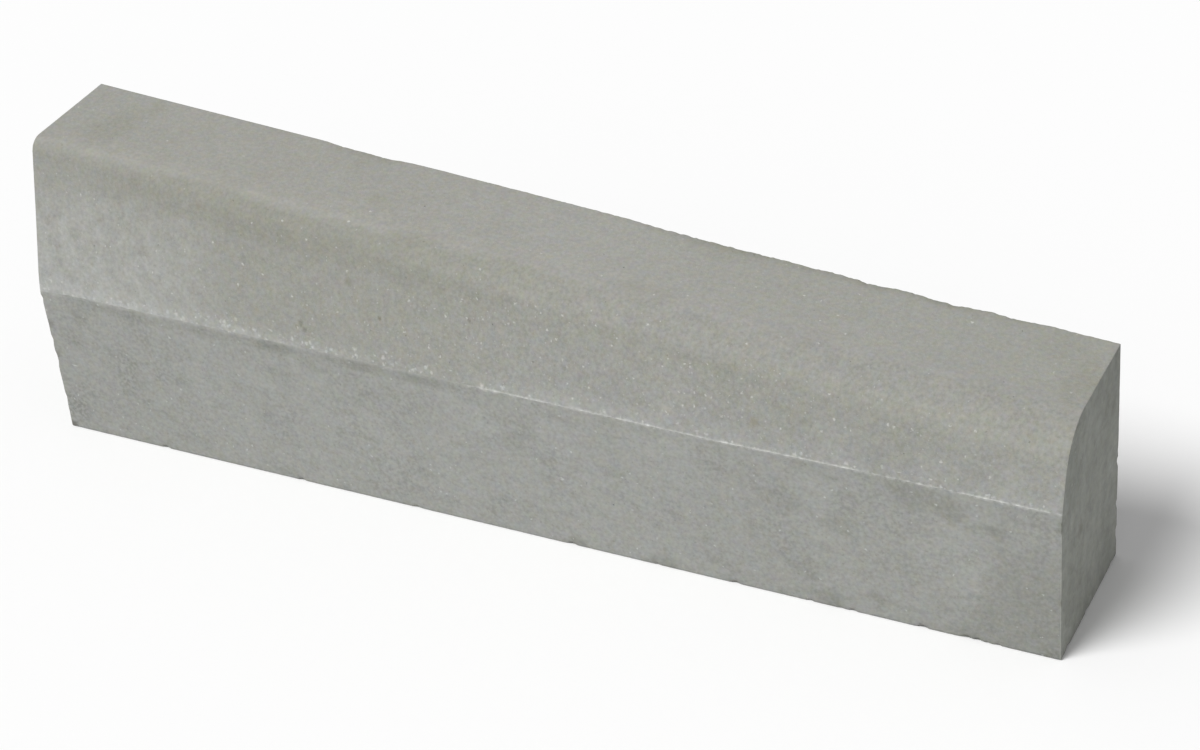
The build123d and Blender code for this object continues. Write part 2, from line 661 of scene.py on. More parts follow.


# %% [markdown]
# ## Reading the place on the stone
#
# The finish changes from place to place: dust gathers above the crease, a
# film that is partly painted shade lies below the arris, and the worn edge is
# darker. So the first node group turns Object coordinates into places on the
# kerb: how far along it a point lies, how high above the crease, how far below
# the level of the top, and how far forward of the line where the arris starts.
# They bend with a slow noise, so that no stain drawn in these terms looks ruled.

# %% Group: places on the kerb
kerb_places, given, out = start_group(
    "kerb_places", [("Vector", VECTOR, None), ("Bend", NUMBER, 4 * MM)],
    ["Along", "Above Crease", "Below Top", "Past Arris Start"])
t = kerb_places
mean_sag, bend_size = 2 * MM, 50 * MM
slow = node(t, "ShaderNodeTexNoise", {"Vector": given["Vector"], "Scale": 1 / bend_size, "Detail": 3.0})
bend = times(t, calc(t, "SUBTRACT", slow.outputs["Fac"], 0.5), times(t, given["Bend"], 4))
axes = node(t, "ShaderNodeSeparateXYZ", {"Vector": given["Vector"]}).outputs
share = calc(t, "DIVIDE", calc(t, "SUBTRACT", axes["X"], tall_x), length)
t.links.new(share, out["Along"])


def link_distance(name, key, start, upwards=False):
    """Puts out how far a point lies from a line of the kerb, given at the tall end."""
    line = calc(t, "MULTIPLY_ADD", share, low[key] - tall[key], start)
    here = axes["Y"] if key == "top_start" else axes["Z"]
    distance = calc(t, "SUBTRACT", here, line) if upwards else calc(t, "SUBTRACT", line, here)
    t.links.new(calc(t, "ADD", distance, bend), out[name])


link_distance("Above Crease", "crease", tall["crease"] - mean_sag, upwards=True)
link_distance("Below Top", "top", tall["top"])
link_distance("Past Arris Start", "top_start", tall["top_start"])

# %% [markdown]
# ## A soft band
#
# Film, dust and the painted highlight on the arris all lie in bands with soft
# edges. A band is a value that has risen past a start and not yet fallen past
# an end. Two Map Range nodes with smooth steps do it, and their product is the
# mask.

# %% Group: a soft band between two values
soft_band, given, out = start_group(
    "soft_band",
    [("Value", NUMBER, 0.0), ("From", NUMBER, 0.0), ("To", NUMBER, 1.0), ("Fade", NUMBER, 0.1)], ["Mask"])
t = soft_band
rise = node(t, "ShaderNodeMapRange", {
    "Value": given["Value"], "From Min": calc(t, "SUBTRACT", given["From"], given["Fade"]),
    "From Max": given["From"]}, interpolation_type="SMOOTHSTEP")
fall = node(t, "ShaderNodeMapRange", {
    "Value": given["Value"], "From Min": given["To"],
    "From Max": calc(t, "ADD", given["To"], given["Fade"]), "To Min": 1.0, "To Max": 0.0},
    interpolation_type="SMOOTHSTEP")
t.links.new(times(t, rise.outputs["Result"], fall.outputs["Result"]), out["Mask"])

# %% [markdown]
# ## The substance of the stone
#
# Seen close, pressed concrete is sand in grey paste: grains of a millimetre,
# each a little lighter, darker, greener or redder than the next. Voronoi
# cells are the grains, each with its own random colour, and two noises make
# the clumps that they stick together in and the hues. The stamped and the
# moulded faces both use this group, with different sizes.

# %% Group: sandy grain
sandy_grain, given, out = start_group(
    "sandy_grain",
    [("Vector", VECTOR, None), ("Grain", NUMBER, 1.1 * MM), ("Clump", NUMBER, 4 * MM)],
    ["Grain Tone", "Clump Tone", "Warmth", "Blush", "Height"])
t = sandy_grain
grains = node(t, "ShaderNodeTexVoronoi", {
    "Vector": given["Vector"], "Scale": calc(t, "DIVIDE", 1.0, given["Grain"])})
one_grain = node(t, "ShaderNodeSeparateColor", {"Color": grains.outputs["Color"]}).outputs
clumps = node(t, "ShaderNodeTexNoise", {
    "Vector": given["Vector"], "Scale": calc(t, "DIVIDE", 1.0, given["Clump"]), "Detail": 2.0})
hues = node(t, "ShaderNodeTexNoise", {
    "Vector": given["Vector"], "Scale": calc(t, "DIVIDE", 0.45, given["Clump"]), "Detail": 3.0,
    "Roughness": 0.7})
hue = node(t, "ShaderNodeSeparateColor", {"Color": hues.outputs["Color"]}).outputs
t.links.new(one_grain["Red"], out["Grain Tone"])
t.links.new(clumps.outputs["Fac"], out["Clump Tone"])
t.links.new(hue["Green"], out["Warmth"])
t.links.new(hue["Blue"], out["Blush"])
dome = calc(t, "SUBTRACT", 1.0, grains.outputs["Distance"])
t.links.new(times(t, dome, calc(t, "MULTIPLY_ADD", one_grain["Blue"], 0.7, 0.3)), out["Height"])

# %% [markdown]
# ## Clouds
#
# Over the grain lie clouds, where the paste took up more or less water. They
# are one noise with its contrast raised around a half. Size and contrast are
# inputs, so the same group makes wide clouds, small patches and streaks.

# %% Group: clouds
cloudy_mottle, given, out = start_group(
    "cloudy_mottle",
    [("Vector", VECTOR, None), ("Size", NUMBER, 40 * MM), ("Detail", NUMBER, 4.0),
     ("Contrast", NUMBER, 2.0)], ["Tone"])
t = cloudy_mottle
cloud = node(t, "ShaderNodeTexNoise", {
    "Vector": given["Vector"], "Scale": calc(t, "DIVIDE", 1.0, given["Size"]), "Detail": given["Detail"],
    "Roughness": 0.6})
centred = calc(t, "SUBTRACT", cloud.outputs["Fac"], 0.5)
t.links.new(calc(t, "MULTIPLY_ADD", centred, given["Contrast"], 0.5, clamp=True), out["Tone"])

# %% [markdown]
# ## Scattered specks
#
# Now and then a grain of quartz lies at the surface and glints, or a pinhole
# or a crumb breaks it. All are specks: Voronoi cells of which only a share is
# chosen by dice, each with a spot of its own size in its middle. A fine
# noise moves the coordinates a little first, so that no speck is a disc.

# %% Group: scattered specks
scattered_specks, given, out = start_group(
    "scattered_specks",
    [("Vector", VECTOR, None), ("Spacing", NUMBER, 5 * MM), ("Radius", NUMBER, 0.8 * MM),
     ("Share", NUMBER, 0.3)], ["Mask"])
t = scattered_specks
wobble = node(t, "ShaderNodeTexNoise", {
    "Vector": given["Vector"], "Scale": calc(t, "DIVIDE", 0.6, given["Radius"]), "Detail": 1.0})
aside = node(t, "ShaderNodeVectorMath", {0: wobble.outputs["Color"], 1: (0.5, 0.5, 0.5)},
             operation="SUBTRACT")
moved = node(t, "ShaderNodeVectorMath", {
    0: aside.outputs[0], 1: times(t, given["Radius"], 2.5), 2: given["Vector"]}, operation="MULTIPLY_ADD")
spots = node(t, "ShaderNodeTexVoronoi", {
    "Vector": moved.outputs[0], "Scale": calc(t, "DIVIDE", 1.0, given["Spacing"])})
dice = node(t, "ShaderNodeSeparateColor", {"Color": spots.outputs["Color"]}).outputs
reach = times(t, calc(t, "DIVIDE", given["Radius"], given["Spacing"]),
              calc(t, "MULTIPLY_ADD", dice["Green"], 0.8, 0.4))
inside = calc(t, "SUBTRACT", 1.0, calc(t, "DIVIDE", spots.outputs["Distance"], reach), clamp=True)
chosen = calc(t, "LESS_THAN", dice["Red"], given["Share"])
t.links.new(times(t, calc(t, "POWER", inside, 0.7), chosen), out["Mask"])

# %% [markdown]
# ## One soft spot
#
# Some stains have a place of their own. Each is a soft spot: the distance
# from its middle, stretched by its reach along each axis and frayed by a
# noise, turned into a mask that is full in the core and nothing outside.

# %% Group: one soft spot
soft_spot, given, out = start_group(
    "soft_spot",
    [("Vector", VECTOR, None), ("Centre", VECTOR, None), ("Reach", VECTOR, (0.01, 0.01, 0.01)),
     ("Frayed", NUMBER, 0.6), ("Core", NUMBER, 0.3)], ["Mask"])
t = soft_spot
offset = node(t, "ShaderNodeVectorMath", {0: given["Vector"], 1: given["Centre"]}, operation="SUBTRACT")
scaled = node(t, "ShaderNodeVectorMath", {0: offset.outputs[0], 1: given["Reach"]}, operation="DIVIDE")
away = node(t, "ShaderNodeVectorMath", {0: scaled.outputs[0]}, operation="LENGTH")
fray = node(t, "ShaderNodeTexNoise", {"Vector": scaled.outputs[0], "Scale": 1.7, "Detail": 4.0})
edge = calc(t, "MULTIPLY_ADD", calc(t, "SUBTRACT", fray.outputs["Fac"], 0.5), given["Frayed"],
            away.outputs["Value"])
spot = node(t, "ShaderNodeMapRange", {
    "Value": edge, "From Min": given["Core"], "From Max": 1.0, "To Min": 1.0, "To Max": 0.0},
    interpolation_type="SMOOTHSTEP")
t.links.new(spot.outputs["Result"], out["Mask"])

# %% [markdown]
# ## Masks
#
# A finish is built like glazes of paint: a base colour first, then layer over
# layer, each with a mask that says where it lies. These helpers make masks.
# Three of them place a group from above. The others blend tones, draw a curve
# along the kerb, climb from one value to another, read the weights that the
# mesh remembers, or move the coordinates.

# %% Helpers that make masks
def place(tree, group, **inputs):
    """Puts a group in a material. In the names of its inputs, _ stands for a space."""
    placed = node(tree, "ShaderNodeGroup", node_tree=group)
    for name, value in inputs.items():
        fill(tree, placed.inputs[name.replace("_", " ")], value)
    return placed.outputs


def band(tree, value, start, stop, fade):
    return place(tree, soft_band, Value=value, From=start, To=stop, Fade=fade)["Mask"]


def specks(tree, where, spacing, radius, share):
    return place(tree, scattered_specks, Vector=where, Spacing=spacing, Radius=radius, Share=share)["Mask"]


def blended(tree, *shares):
    """One tone around a half, from pairs of a tone and how far it counts."""
    total = 0.5
    for tone, counts in shares:
        total = calc(tree, "MULTIPLY_ADD", calc(tree, "SUBTRACT", tone, 0.5), counts, total)
    return calc(tree, "ADD", total, 0.0, clamp=True)


def profile(tree, value, *knots):
    """A smooth curve through knots of place and strength, as a ramp."""
    ramp = node(tree, "ShaderNodeValToRGB", {"Fac": value})
    elements = ramp.color_ramp.elements
    ramp.color_ramp.interpolation = "EASE"
    elements[0].position, elements[1].position = knots[0][0], knots[-1][0]
    for knot in knots[1:-1]:
        elements.new(knot[0])
    for element, (_, strength) in zip(elements, knots):
        element.color = (strength, strength, strength, 1)
    return ramp.outputs["Color"]


def climb(tree, value, start, stop, least=0.0):
    """A mask that goes from least, at start, to 1, at stop."""
    return node(tree, "ShaderNodeMapRange", {
        "Value": value, "From Min": start, "From Max": stop, "To Min": least}).outputs["Result"]


def remembered(tree, title):
    return node(tree, "ShaderNodeAttribute", attribute_name=title).outputs["Fac"]


def mapped(tree, where, **settings):
    """The same coordinates moved or stretched, by a Mapping node."""
    return node(tree, "ShaderNodeMapping", {"Vector": where, **settings}).outputs["Vector"]


# %% [markdown]
# ## Layers
#
# A mask then carries a layer. Paint covers what is below it, and a tint
# multiplies it, as a thin film or damp does, so the grain still shows through.
# Most layers here are tints. Two layers that both finishes share have helpers
# of their own: the hues of the sand, and the white of the fin.

# %% Helpers that lay colours over each other
FIN_WHITE = (0.66, 0.67, 0.64)


def mix(tree, share, under, over, blend="MIX"):
    """Lays a colour over another, by a share."""
    new = node(tree, "ShaderNodeMix", data_type="RGBA", blend_type=blend, clamp_factor=True)
    for number, value in ((0, share), (6, under), (7, over)):
        fill(tree, new.inputs[number], (*value, 1) if isinstance(value, tuple) else value)
    return new.outputs[2]


def cover(tree, colour, paint, mask, strength=None, blend="MIX"):
    """Covers a colour with paint where the mask is, as strongly as told."""
    share = mask if strength is None else times(tree, mask, strength)
    return mix(tree, share, colour, paint, blend)


def tint(tree, colour, by, mask, strength=None):
    """Multiplies a colour where the mask is, as strongly as told."""
    return cover(tree, colour, by, mask, strength, blend="MULTIPLY")


def sand_hues(tree, colour, grain, strength):
    """Tints a colour clump by clump: warm or cool, and a little red or green."""
    warmth = mix(tree, grain["Warmth"], (0.95, 0.955, 1.22), (1.05, 1.045, 0.78))
    blush = mix(tree, grain["Blush"], (0.90, 1.05, 1.00), (1.10, 0.95, 1.00))
    return tint(tree, tint(tree, colour, warmth, strength), blush, strength)


def white_fin(tree, colour, grain):
    """Covers the fin with white: the remembered weight, broken up clump by clump."""
    lumps = calc(tree, "MULTIPLY_ADD", grain["Clump Tone"], 1.6, 0.2)
    lumpy = times(tree, remembered(tree, "fin"), lumps)
    return cover(tree, colour, FIN_WHITE, climb(tree, lumpy, 0.12, 0.75))


# %% [markdown]
# ## Opening and closing a material
#
# Both finishes start with Object coordinates and the plain shader, and end in
# the same three sockets: colour, roughness, and a bump for grains too small
# to model. Concrete is matt, so its specular level is low, and being the same
# all over, it is set on the shader itself.

# %% Helpers that start and finish a material
def start_material(title):
    material = bpy.data.materials.new(title)
    material.use_nodes = True
    tree = material.node_tree
    where = node(tree, "ShaderNodeTexCoord").outputs["Object"]
    return material, tree, where, tree.nodes["Principled BSDF"]


def finish_stone(material, shader, colour, height, grain_relief, roughness):
    """Joins the last layer, the bump and the roughness, and gives the stone the material."""
    tree = material.node_tree
    bumped = node(tree, "ShaderNodeBump", {"Strength": 0.5, "Distance": grain_relief, "Height": height})
    tree.links.new(colour, shader.inputs["Base Color"])
    tree.links.new(bumped.outputs["Normal"], shader.inputs["Normal"])
    tree.links.new(roughness, shader.inputs["Roughness"])
    shader.inputs["Specular IOR Level"].default_value = 0.3
    stone.data.materials.append(material)
    say_nodes(tree, material.name)


def say_nodes(tree, title):
    print(title, "done, nodes so far:", len(tree.nodes))


# %% [markdown]
# ## The stamped faces: warm grey sand
#
# The top, the arris and the battered face were under the stamp. They are warm
# grey and sandy. The base goes from a dark to a pale grey by one tone, which
# blends grain, clumps, patches and clouds. The clumps count more on the face
# than on the top, and most on the low half.

# %% Base of the stamped faces
stamped, t, where, shader = start_material("stamped_concrete")
spot_on = place(t, kerb_places, Vector=where, Bend=3 * MM)
grain = place(t, sandy_grain, Vector=where, Grain=1.1 * MM, Clump=3.4 * MM)
clouds = place(t, cloudy_mottle, Vector=where, Size=90 * MM, Detail=3.0, Contrast=1.6)
patches = place(t, cloudy_mottle, Vector=where, Size=14 * MM, Detail=4.0, Contrast=1.8)
patchy = calc(t, "SUBTRACT", patches["Tone"], 0.5)
frayed_start = calc(t, "MULTIPLY_ADD", patchy, 10 * MM, spot_on["Past Arris Start"])
off_top = band(t, frayed_start, 13 * MM, 200 * MM, 12 * MM)


def by_length(*knots):
    """A strength that changes along the kerb, in the material that is being built."""
    return profile(t, spot_on["Along"], *knots)


coarser = by_length((0.0, 0.06), (0.35, 0.08), (0.5, 0.25), (1.0, 0.27))
tone = blended(t, (grain["Grain Tone"], 0.10),
               (grain["Clump Tone"], calc(t, "MULTIPLY_ADD", off_top, coarser, 0.62)),
               (clouds["Tone"], 0.05),
               (patches["Tone"], calc(t, "MULTIPLY_ADD", off_top, 0.09, 0.12)))
colour = mix(t, tone, (0.253, 0.253, 0.231), (0.460, 0.458, 0.431))
say_nodes(t, "base of the stamped faces")

# %% [markdown]
# ## Painted highlight and olive film on the arris
#
# Where the arris leaves the top, a band of painted highlight in a warm tint
# runs along it. Below it lies a thin olive film that is strongest near the tall
# end: partly a stain that water has left, and partly painted shade. Both are
# tints in soft bands. The whole face is painted a little darker than the top,
# as painted shade, and so is the first turn of the arris.

# %% Painted highlight on the arris, film and painted shade
# Painted highlight: a pale, warm band where the arris leaves the top.
painted_arris_highlight = times(t, band(t, frayed_start, -9 * MM, 2 * MM, 10 * MM),
              by_length((0.0, 0.42), (0.25, 0.30), (0.5, 0.18), (1.0, 0.05)))
painted_arris_highlight = times(t, painted_arris_highlight, calc(t, "MULTIPLY_ADD", patches["Tone"], 1.2, 0.3))
colour = tint(t, colour, (1.10, 1.085, 1.06), painted_arris_highlight)
# An olive stain that is also painted shade, below the painted highlight.
olive_film_and_shade = times(t, band(t, spot_on["Below Top"], 7 * MM, 26 * MM, 15 * MM),
             by_length((0.0, 0.15), (0.06, 0.42), (0.12, 1.0), (0.35, 0.92), (0.55, 0.36), (1.0, 0.24)))
colour = tint(t, colour, (0.835, 0.825, 0.745), olive_film_and_shade, 0.36)
# Painted shade: the face darker than the top, and the first turn of the arris too.
face_shade = by_length((0.0, 0.64), (0.12, 0.66), (0.3, 0.76), (0.6, 0.62), (1.0, 0.72))
colour = tint(t, colour, (0.835, 0.845, 0.805), off_top, face_shade)
first_turn = band(t, spot_on["Below Top"], 4 * MM, 9 * MM, 7 * MM)
colour = tint(t, colour, (0.968, 0.968, 0.960), first_turn, off_top)
say_nodes(t, "cream band and film")

# %% [markdown]
# ## Dust above the crease
#
# Pale cement dust lies on the leaning face above the crease. At the tall end
# it climbs most of the face, and elsewhere only a few millimetres are left,
# with crumbs in them. So there are four layers: a wide one, its foot, a thin
# broken line, and the crumbs. They are paint, because dust hides the sand.

# %% Dust and crumbs
wandering_along = calc(t, "MULTIPLY_ADD", patchy, 0.035, spot_on["Along"])
dust = times(t, band(t, spot_on["Above Crease"], 0.0, 45 * MM, 88 * MM),
             profile(t, wandering_along, (0.0, 0.95), (0.12, 0.8), (0.17, 0.55), (0.22, 0.08), (1.0, 0.05)))
dust = calc(t, "MULTIPLY", dust, calc(t, "MULTIPLY_ADD", patches["Tone"], 1.35, 0.12), clamp=True)
colour = cover(t, colour, mix(t, grain["Clump Tone"], (0.32, 0.326, 0.31), (0.55, 0.56, 0.54)), dust, 0.65)
dust_foot = times(t, band(t, spot_on["Above Crease"], 0.0, 6 * MM, 16 * MM),
                  by_length((0.0, 0.28), (0.18, 0.20), (0.3, 0.12), (0.45, 0.05), (0.52, 0.20),
                            (0.76, 0.16), (0.87, 0.05), (1.0, 0.12)))
colour = cover(t, colour, mix(t, grain["Clump Tone"], (0.40, 0.406, 0.39), (0.57, 0.58, 0.56)), dust_foot)
dust_line = times(t, band(t, spot_on["Above Crease"], 0.0, 2 * MM, 7 * MM),
                  by_length((0.0, 0.36), (0.14, 0.48), (0.3, 0.32), (0.45, 0.1), (0.78, 0.05), (1.0, 0.2)))
broken = climb(t, times(t, grain["Clump Tone"], patches["Tone"]), 0.12, 0.36, least=0.25)
colour = cover(t, colour, (0.50, 0.508, 0.488), dust_line, broken)
crumb_zone = times(t, band(t, spot_on["Above Crease"], 0.5 * MM, 6 * MM, 10 * MM),
                   by_length((0.0, 0.50), (0.13, 0.85), (0.22, 0.75), (0.42, 0.55), (0.5, 0.15),
                             (1.0, 0.4)))
crumbs = specks(t, where, 4.5 * MM, 2.1 * MM, crumb_zone)
colour = cover(t, colour, (0.60, 0.61, 0.58), crumbs, 0.72)
say_nodes(t, "dust and crumbs")

# %% [markdown]
# ## Hues and the worn edge
#
# The sand has its hues, fainter under the dust. The top is duller at both
# ends. On the low half, the foot of the face and the arris are a little less
# yellow. The crumbled back edge is darker, because a broken surface is rough.

# %% Hues, dull ends and the worn edge
colour = sand_hues(t, colour, grain, calc(t, "MULTIPLY_ADD", dust, -0.36, 0.78))
on_top = calc(t, "SUBTRACT", 1.0, off_top)
dulled = by_length((0.0, 0.60), (0.12, 0.12), (0.5, 0.05), (0.75, 0.65), (1.0, 1.0))
colour = tint(t, colour, (0.926, 0.934, 0.912), on_top, dulled)
low_half = by_length((0.0, 0.2), (0.5, 0.15), (0.62, 0.9), (1.0, 1.0))
cooler = band(t, spot_on["Above Crease"], 0.0, 12 * MM, 48 * MM)
colour = tint(t, colour, (0.985, 0.990, 1.022), cooler, low_half)
less_yellow = band(t, spot_on["Past Arris Start"], -2 * MM, 26 * MM, 10 * MM)
colour = tint(t, colour, (0.992, 0.986, 1.014), less_yellow, low_half)
colour = tint(t, colour, (0.86, 0.86, 0.82), remembered(t, "worn"))
say_nodes(t, "hues and worn edge")

# %% [markdown]
# ## Stains on the top
#
# The plainest stains are put where the real stone has them. A stain is a soft
# spot that tints what is below it. In the list, each has its share of the
# length, its distance from the middle line, its reach along and across, its
# strength and its tint. A single number for a tint stands for a grey.

# %% Stains on the top
def paint_stains_and_shade(tree, colour, marks, frayed):
    """Tints a colour at marks, each given as middle, reach, strength and tint."""
    for middle, reach, strength, stain_and_shade_tint in marks:
        mask = place(tree, soft_spot, Vector=where, Centre=middle, Reach=reach, Frayed=frayed)["Mask"]
        colour = tint(tree, colour, stain_and_shade_tint if isinstance(stain_and_shade_tint, tuple) else (stain_and_shade_tint,) * 3, mask, strength)
    return colour


top_marks = (
    (0.056, 0.012, 0.030, 0.045, 0.36, (0.80, 0.80, 0.70)),
    (0.074, 0.055, 0.014, 0.030, 0.25, (0.80, 0.80, 0.70)),
    (0.988, 0.012, 0.022, 0.050, 0.32, (0.80, 0.79, 0.68)),
    (0.612, -0.020, 0.045, 0.018, 0.26, (0.80, 0.80, 0.68)),
    (0.295, 0.055, 0.012, 0.022, 0.22, (0.80, 0.80, 0.68)),
    (0.340, 0.008, 0.013, 0.013, 0.25, (0.80, 0.80, 0.68)),
    (0.800, -0.006, 0.035, 0.022, 0.30, 1.07),
    (0.650, 0.062, 0.050, 0.018, 0.35, (0.86, 0.86, 0.79)),
    (0.955, 0.052, 0.035, 0.028, 0.25, (0.88, 0.88, 0.84)))
colour = paint_stains_and_shade(t, colour, [
    ((tall_x + share * length, off_middle, between("top", share)), (reach, across, 0.03), strength, stain_and_shade_tint)
    for share, off_middle, reach, across, strength, stain_and_shade_tint in top_marks], frayed=0.9)
say_nodes(t, "stains on the top")

# %% [markdown]
# ## Stains and painted shade of pits on the battered face
#
# The face has more of them: painted shade where pits are, olive drops, a rusty
# one, damp places and pale ones. Here the second number is the share of the
# face's height, so that a mark stays on the leaning face at any length.

# %% Stains and painted shade of pits on the face
face_marks = (
    # The darkest marks here are painted shade of pits.
    (0.290, 0.21, 0.0045, 0.60, (0.62, 0.62, 0.56)), (0.2945, 0.16, 0.0035, 0.60, (0.62, 0.62, 0.56)),
    (0.286, 0.17, 0.003, 0.50, (0.62, 0.62, 0.56)), (0.230, 0.64, 0.006, 0.40, (0.72, 0.73, 0.62)),
    (0.340, 0.70, 0.0055, 0.50, (0.70, 0.70, 0.60)), (0.372, 0.44, 0.003, 0.70, (0.60, 0.58, 0.50)),
    (0.462, 0.66, 0.003, 0.60, (0.62, 0.60, 0.52)), (0.118, 0.48, 0.009, 0.35, (0.78, 0.78, 0.74)),
    (0.555, 0.43, 0.003, 0.50, (0.66, 0.64, 0.55)), (0.860, 0.60, 0.006, 0.40, (0.72, 0.74, 0.62)),
    (0.732, 0.36, 0.006, 0.45, (0.86, 0.77, 0.56)), (0.530, 0.35, 0.060, 0.50, (1.02, 1.03, 1.06)),
    (0.765, 0.60, 0.020, 0.45, (0.90, 0.91, 0.86)), (0.700, 0.85, 0.025, 0.35, (0.90, 0.91, 0.86)),
    (0.645, 0.20, 0.020, 0.50, 1.05), (0.805, 0.35, 0.016, 0.60, 1.08),
    (0.885, 0.35, 0.018, 0.60, 1.08), (0.960, 0.40, 0.016, 0.50, 1.07),
    (0.840, 0.25, 0.014, 0.45, (0.88, 0.89, 0.85)), (0.925, 0.55, 0.014, 0.40, (0.90, 0.91, 0.87)),
    (0.475, 0.01, 0.0035, 0.90, 1.55), (0.594, 0.03, 0.0030, 0.80, 1.5),
    (0.650, 0.50, 0.035, 0.70, 1.05), (0.950, 0.45, 0.025, 0.45, 1.06),
    (0.050, 0.74, 0.045, 0.60, 1.05), (0.550, 0.85, 0.030, 0.15, (0.95, 0.95, 0.94)))


def on_face(share, up_face):
    """Point of the battered face at a share of the length and of the face's height."""
    arc_z = arc_foot_tall.z + (arc_foot_low.z - arc_foot_tall.z) * share
    crease_z = between("crease", share)
    rise = (arc_z - crease_z) * up_face
    return (tall_x + share * length, front + tall["lean"] * rise, crease_z + rise)


colour = paint_stains_and_shade(t, colour, [(on_face(share, up_face), (reach, reach, reach), strength, stain_and_shade_tint)
                             for share, up_face, reach, strength, stain_and_shade_tint in face_marks], frayed=0.9)
say_nodes(t, "stains on the face")

# %% [markdown]
# ## Quartz glints as painted highlights, pinholes as painted shade, and dark sand
#
# Quartz grains are painted as pale glints, which are painted highlights, most on
# the face near the middle of the kerb, where the stamp has wiped the paste off,
# in larger and finer grains. Pinholes, painted dark as painted shade, and dark
# sand lie everywhere. They read moved coordinates, so that they don't fall in
# line with the glints.

# %% Specks of the stamped faces
ELSEWHERE = (0.3, 0.2, 0.1)
glint_zone = times(t, band(t, spot_on["Below Top"], 34 * MM, 200 * MM, 26 * MM),
                   by_length((0.0, 0.30), (0.2, 0.15), (0.35, 0.4), (0.47, 1.0), (0.75, 1.0), (0.85, 0.5),
                             (1.0, 0.35)))
# Painted highlights: pale specks for the glints of quartz, which are also less rough.
glints = specks(t, where, 5.2 * MM, 1.3 * MM, calc(t, "MULTIPLY_ADD", glint_zone, 0.26, 0.025))
colour = cover(t, colour, (0.63, 0.635, 0.60), glints, 0.80)
fine_glints = specks(t, where, 2.6 * MM, 0.9 * MM, calc(t, "MULTIPLY_ADD", glint_zone, 0.12, 0.02))
colour = cover(t, colour, (0.50, 0.51, 0.49), fine_glints, 0.8)
elsewhere = mapped(t, where, Location=ELSEWHERE)
# Painted shade: the pinholes are darkened in the colour as well as dented by the bump.
pinholes = specks(t, elsewhere, 9 * MM, 1.1 * MM, 0.16)
colour = cover(t, colour, (0.13, 0.13, 0.10), pinholes, 0.6)
dark_sand = specks(t, elsewhere, 3.2 * MM, 1.1 * MM, calc(t, "MULTIPLY_ADD", off_top, 0.12, 0.03))
colour = cover(t, colour, (0.22, 0.22, 0.19), dark_sand, 0.4)
say_nodes(t, "specks of the stamped faces")

# %% [markdown]
# ## Closing the stamped finish
#
# The fin is the palest thing on the stone, so its white goes on last. The
# bump takes the domes of the grains, less the pinholes. Only the glints are
# smooth, because quartz is glassy.

# %% Finish the stamped faces
finish_stone(stamped, shader, white_fin(t, colour, grain), calc(t, "SUBTRACT", grain["Height"], pinholes),
             0.25 * MM, calc(t, "MULTIPLY_ADD", glints, -0.45, 0.88))

# %% [markdown]
# ## The moulded faces: cooler and finer
#
# The foot, the back, the ends and the underside slid along the mould's walls.
# They are cooler and a little darker, with finer grain. The same groups make
# their base, with other values, and the clouds count more here.

# %% Base of the moulded faces
moulded, t, where, shader = start_material("moulded_concrete")
spot_on = place(t, kerb_places, Vector=where, Bend=3 * MM)
grain = place(t, sandy_grain, Vector=where, Grain=0.9 * MM, Clump=3.5 * MM)
clouds = place(t, cloudy_mottle, Vector=where, Size=45 * MM, Detail=6.0, Contrast=2.2)
patches = place(t, cloudy_mottle, Vector=where, Size=9 * MM, Detail=5.0, Contrast=2.4)
tone = blended(t, (grain["Grain Tone"], 0.10), (grain["Clump Tone"], 0.80), (clouds["Tone"], 0.12),
               (patches["Tone"], 0.16))
colour = mix(t, tone, (0.260, 0.265, 0.246), (0.468, 0.474, 0.449))
colour = sand_hues(t, colour, grain, 0.62)
say_nodes(t, "base of the moulded faces")

# %% [markdown]
# ## Dark clouds of the foot
#
# Where the wall held the paste back, fine dark grain gathers in clouds,
# mostly low down at the tall end and in the corner of the low end, which goes
# round a pale heart. Small smudges lie between them. Three large soft spots
# say where the clouds gather, and a noise says where each one is.

# %% Dark clouds and smudges
pale_heart = place(t, soft_spot, Vector=where, Centre=(low_x - 175 * MM, front, 75 * MM),
                   Reach=(0.130, 0.30, 0.088), Frayed=0.25, Core=0.80)["Mask"]
near_corner = place(t, soft_spot, Vector=where, Centre=(low_x + 5 * MM, front, 10 * MM),
                    Reach=(0.17, 0.10, 0.115), Frayed=0.4, Core=0.55)["Mask"]
dark_corner = times(t, near_corner, calc(t, "SUBTRACT", 1.0, pale_heart))
tall_foot = place(t, soft_spot, Vector=where, Centre=(tall_x + 50 * MM, front, 50 * MM),
                  Reach=(0.13, 0.06, 0.10), Frayed=0.8)["Mask"]
smudges = place(t, cloudy_mottle, Vector=mapped(t, where, Scale=(0.65, 1.0, 1.4)), Size=18 * MM, Detail=4.0,
                Contrast=3.0)
colour = tint(t, colour, (0.82, 0.825, 0.80), climb(t, smudges["Tone"], 0.38, 0.08), 0.45)
gathering = calc(t, "MULTIPLY_ADD", tall_foot, 0.8, calc(t, "MULTIPLY_ADD", dark_corner, 0.6, 0.5))
dark_clouds = times(t, climb(t, clouds["Tone"], 0.50, 0.1), gathering)
dark_grain = times(t, dark_clouds, climb(t, grain["Clump Tone"], 0.60, 0.38))
colour = cover(t, colour, (0.22, 0.23, 0.21), dark_grain, 0.4)
# The corner of the low end is also tinted darker as a whole, and then both ends are darker, most of all low
# down.
colour = tint(t, colour, (0.765, 0.765, 0.74), dark_corner, 0.55)
up = node(t, "ShaderNodeSeparateXYZ", {"Vector": where}).outputs["Z"]
dulled = by_length((0.0, 0.50), (0.18, 0.15), (0.62, 0.05), (0.74, 0.50), (0.9, 0.45), (1.0, 0.80))
low_down = band(t, up, 0.0, 30 * MM, 120 * MM)
colour = tint(t, colour, (0.91, 0.912, 0.905), dulled, calc(t, "MULTIPLY_ADD", low_down, 0.5, 0.5))
say_nodes(t, "dark clouds of the foot")
